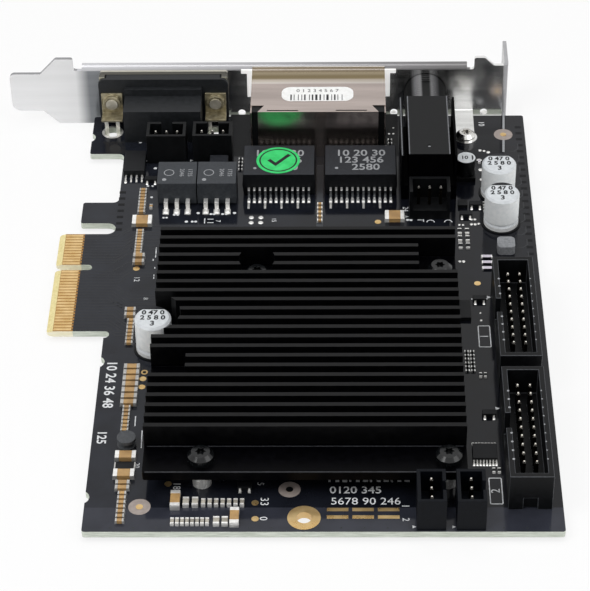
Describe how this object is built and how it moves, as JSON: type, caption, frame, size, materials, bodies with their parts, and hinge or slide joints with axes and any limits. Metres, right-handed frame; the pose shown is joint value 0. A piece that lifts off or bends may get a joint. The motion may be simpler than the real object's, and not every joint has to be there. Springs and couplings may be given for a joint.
{
  "type": "sound card",
  "caption": "Computer plug-in sound card: black circuit board with gold edge contacts, finned heat sink, header connectors and a steel slot bracket carrying the panel sockets.",
  "frame": {"origin": "key notch centre on the outer edge of the gold contact tongue, at the board's top face", "axes": "+X from the contact edge into the board, +Y along the contact edge towards the slot bracket, +Z out of the component face"},
  "size_m": [0.1244, 0.1537, 0.0187],
  "materials": {
    "board": "satin",
    "gold": "satin",
    "bracket_steel": "polished",
    "black_screw": "satin",
    "black_aluminium": "satin",
    "bright_metal": "satin",
    "chip_black": "matte",
    "pad_grey": "matte",
    "shell_steel": "satin",
    "black_plastic": "satin",
    "shield_steel": "satin",
    "tin": "satin",
    "can_aluminium": "satin",
    "ferrite": "matte",
    "ceramic": "matte",
    "label_white": "matte",
    "sticker_green": "satin"
  },
  "bodies": {
    "root": {"circuit_board": "board", "edge_contacts": "gold", "slot_bracket": "bracket_steel", "bracket_screw": "bright_metal", "heat_sink": "black_aluminium", "heat_sink_screws": "black_screw", "heat_sink_standoffs": "bright_metal", "processor_chip": "chip_black", "thermal_pad": "pad_grey", "serial_shell": "shell_steel", "serial_body": "black_plastic", "serial_tails": "tin", "serial_boardlocks": "bright_metal", "serial_screwlocks": "bright_metal", "network_shield": "shield_steel", "network_body": "black_plastic", "network_contacts": "gold", "phones_housing": "black_plastic", "phones_bushing": "black_plastic", "phones_nut": "bright_metal", "phones_tails": "tin", "box_header_shrouds": "black_plastic", "box_header_pins": "gold", "audio_header_shrouds": "black_plastic", "audio_header_pins": "gold", "sync_header_shrouds": "black_plastic", "sync_header_pins": "gold", "transformer_bodies": "chip_black", "transformer_leads": "tin", "isolator_bodies": "chip_black", "isolator_leads": "tin", "choke_block": "ferrite", "capacitor_cans": "can_aluminium", "capacitor_leads": "tin", "mini_can": "can_aluminium", "mini_can_base": "black_plastic", "drum_coil": "ferrite", "flat_coil": "ferrite", "small_chips": "chip_black", "small_chip_leads": "tin", "ceramic_capacitors": "ceramic", "chip_resistors": "chip_black", "soldered_ends": "tin", "gold_pads": "gold", "port_label": "label_white", "test_sticker": "sticker_green"}
  },
  "joints": []
}
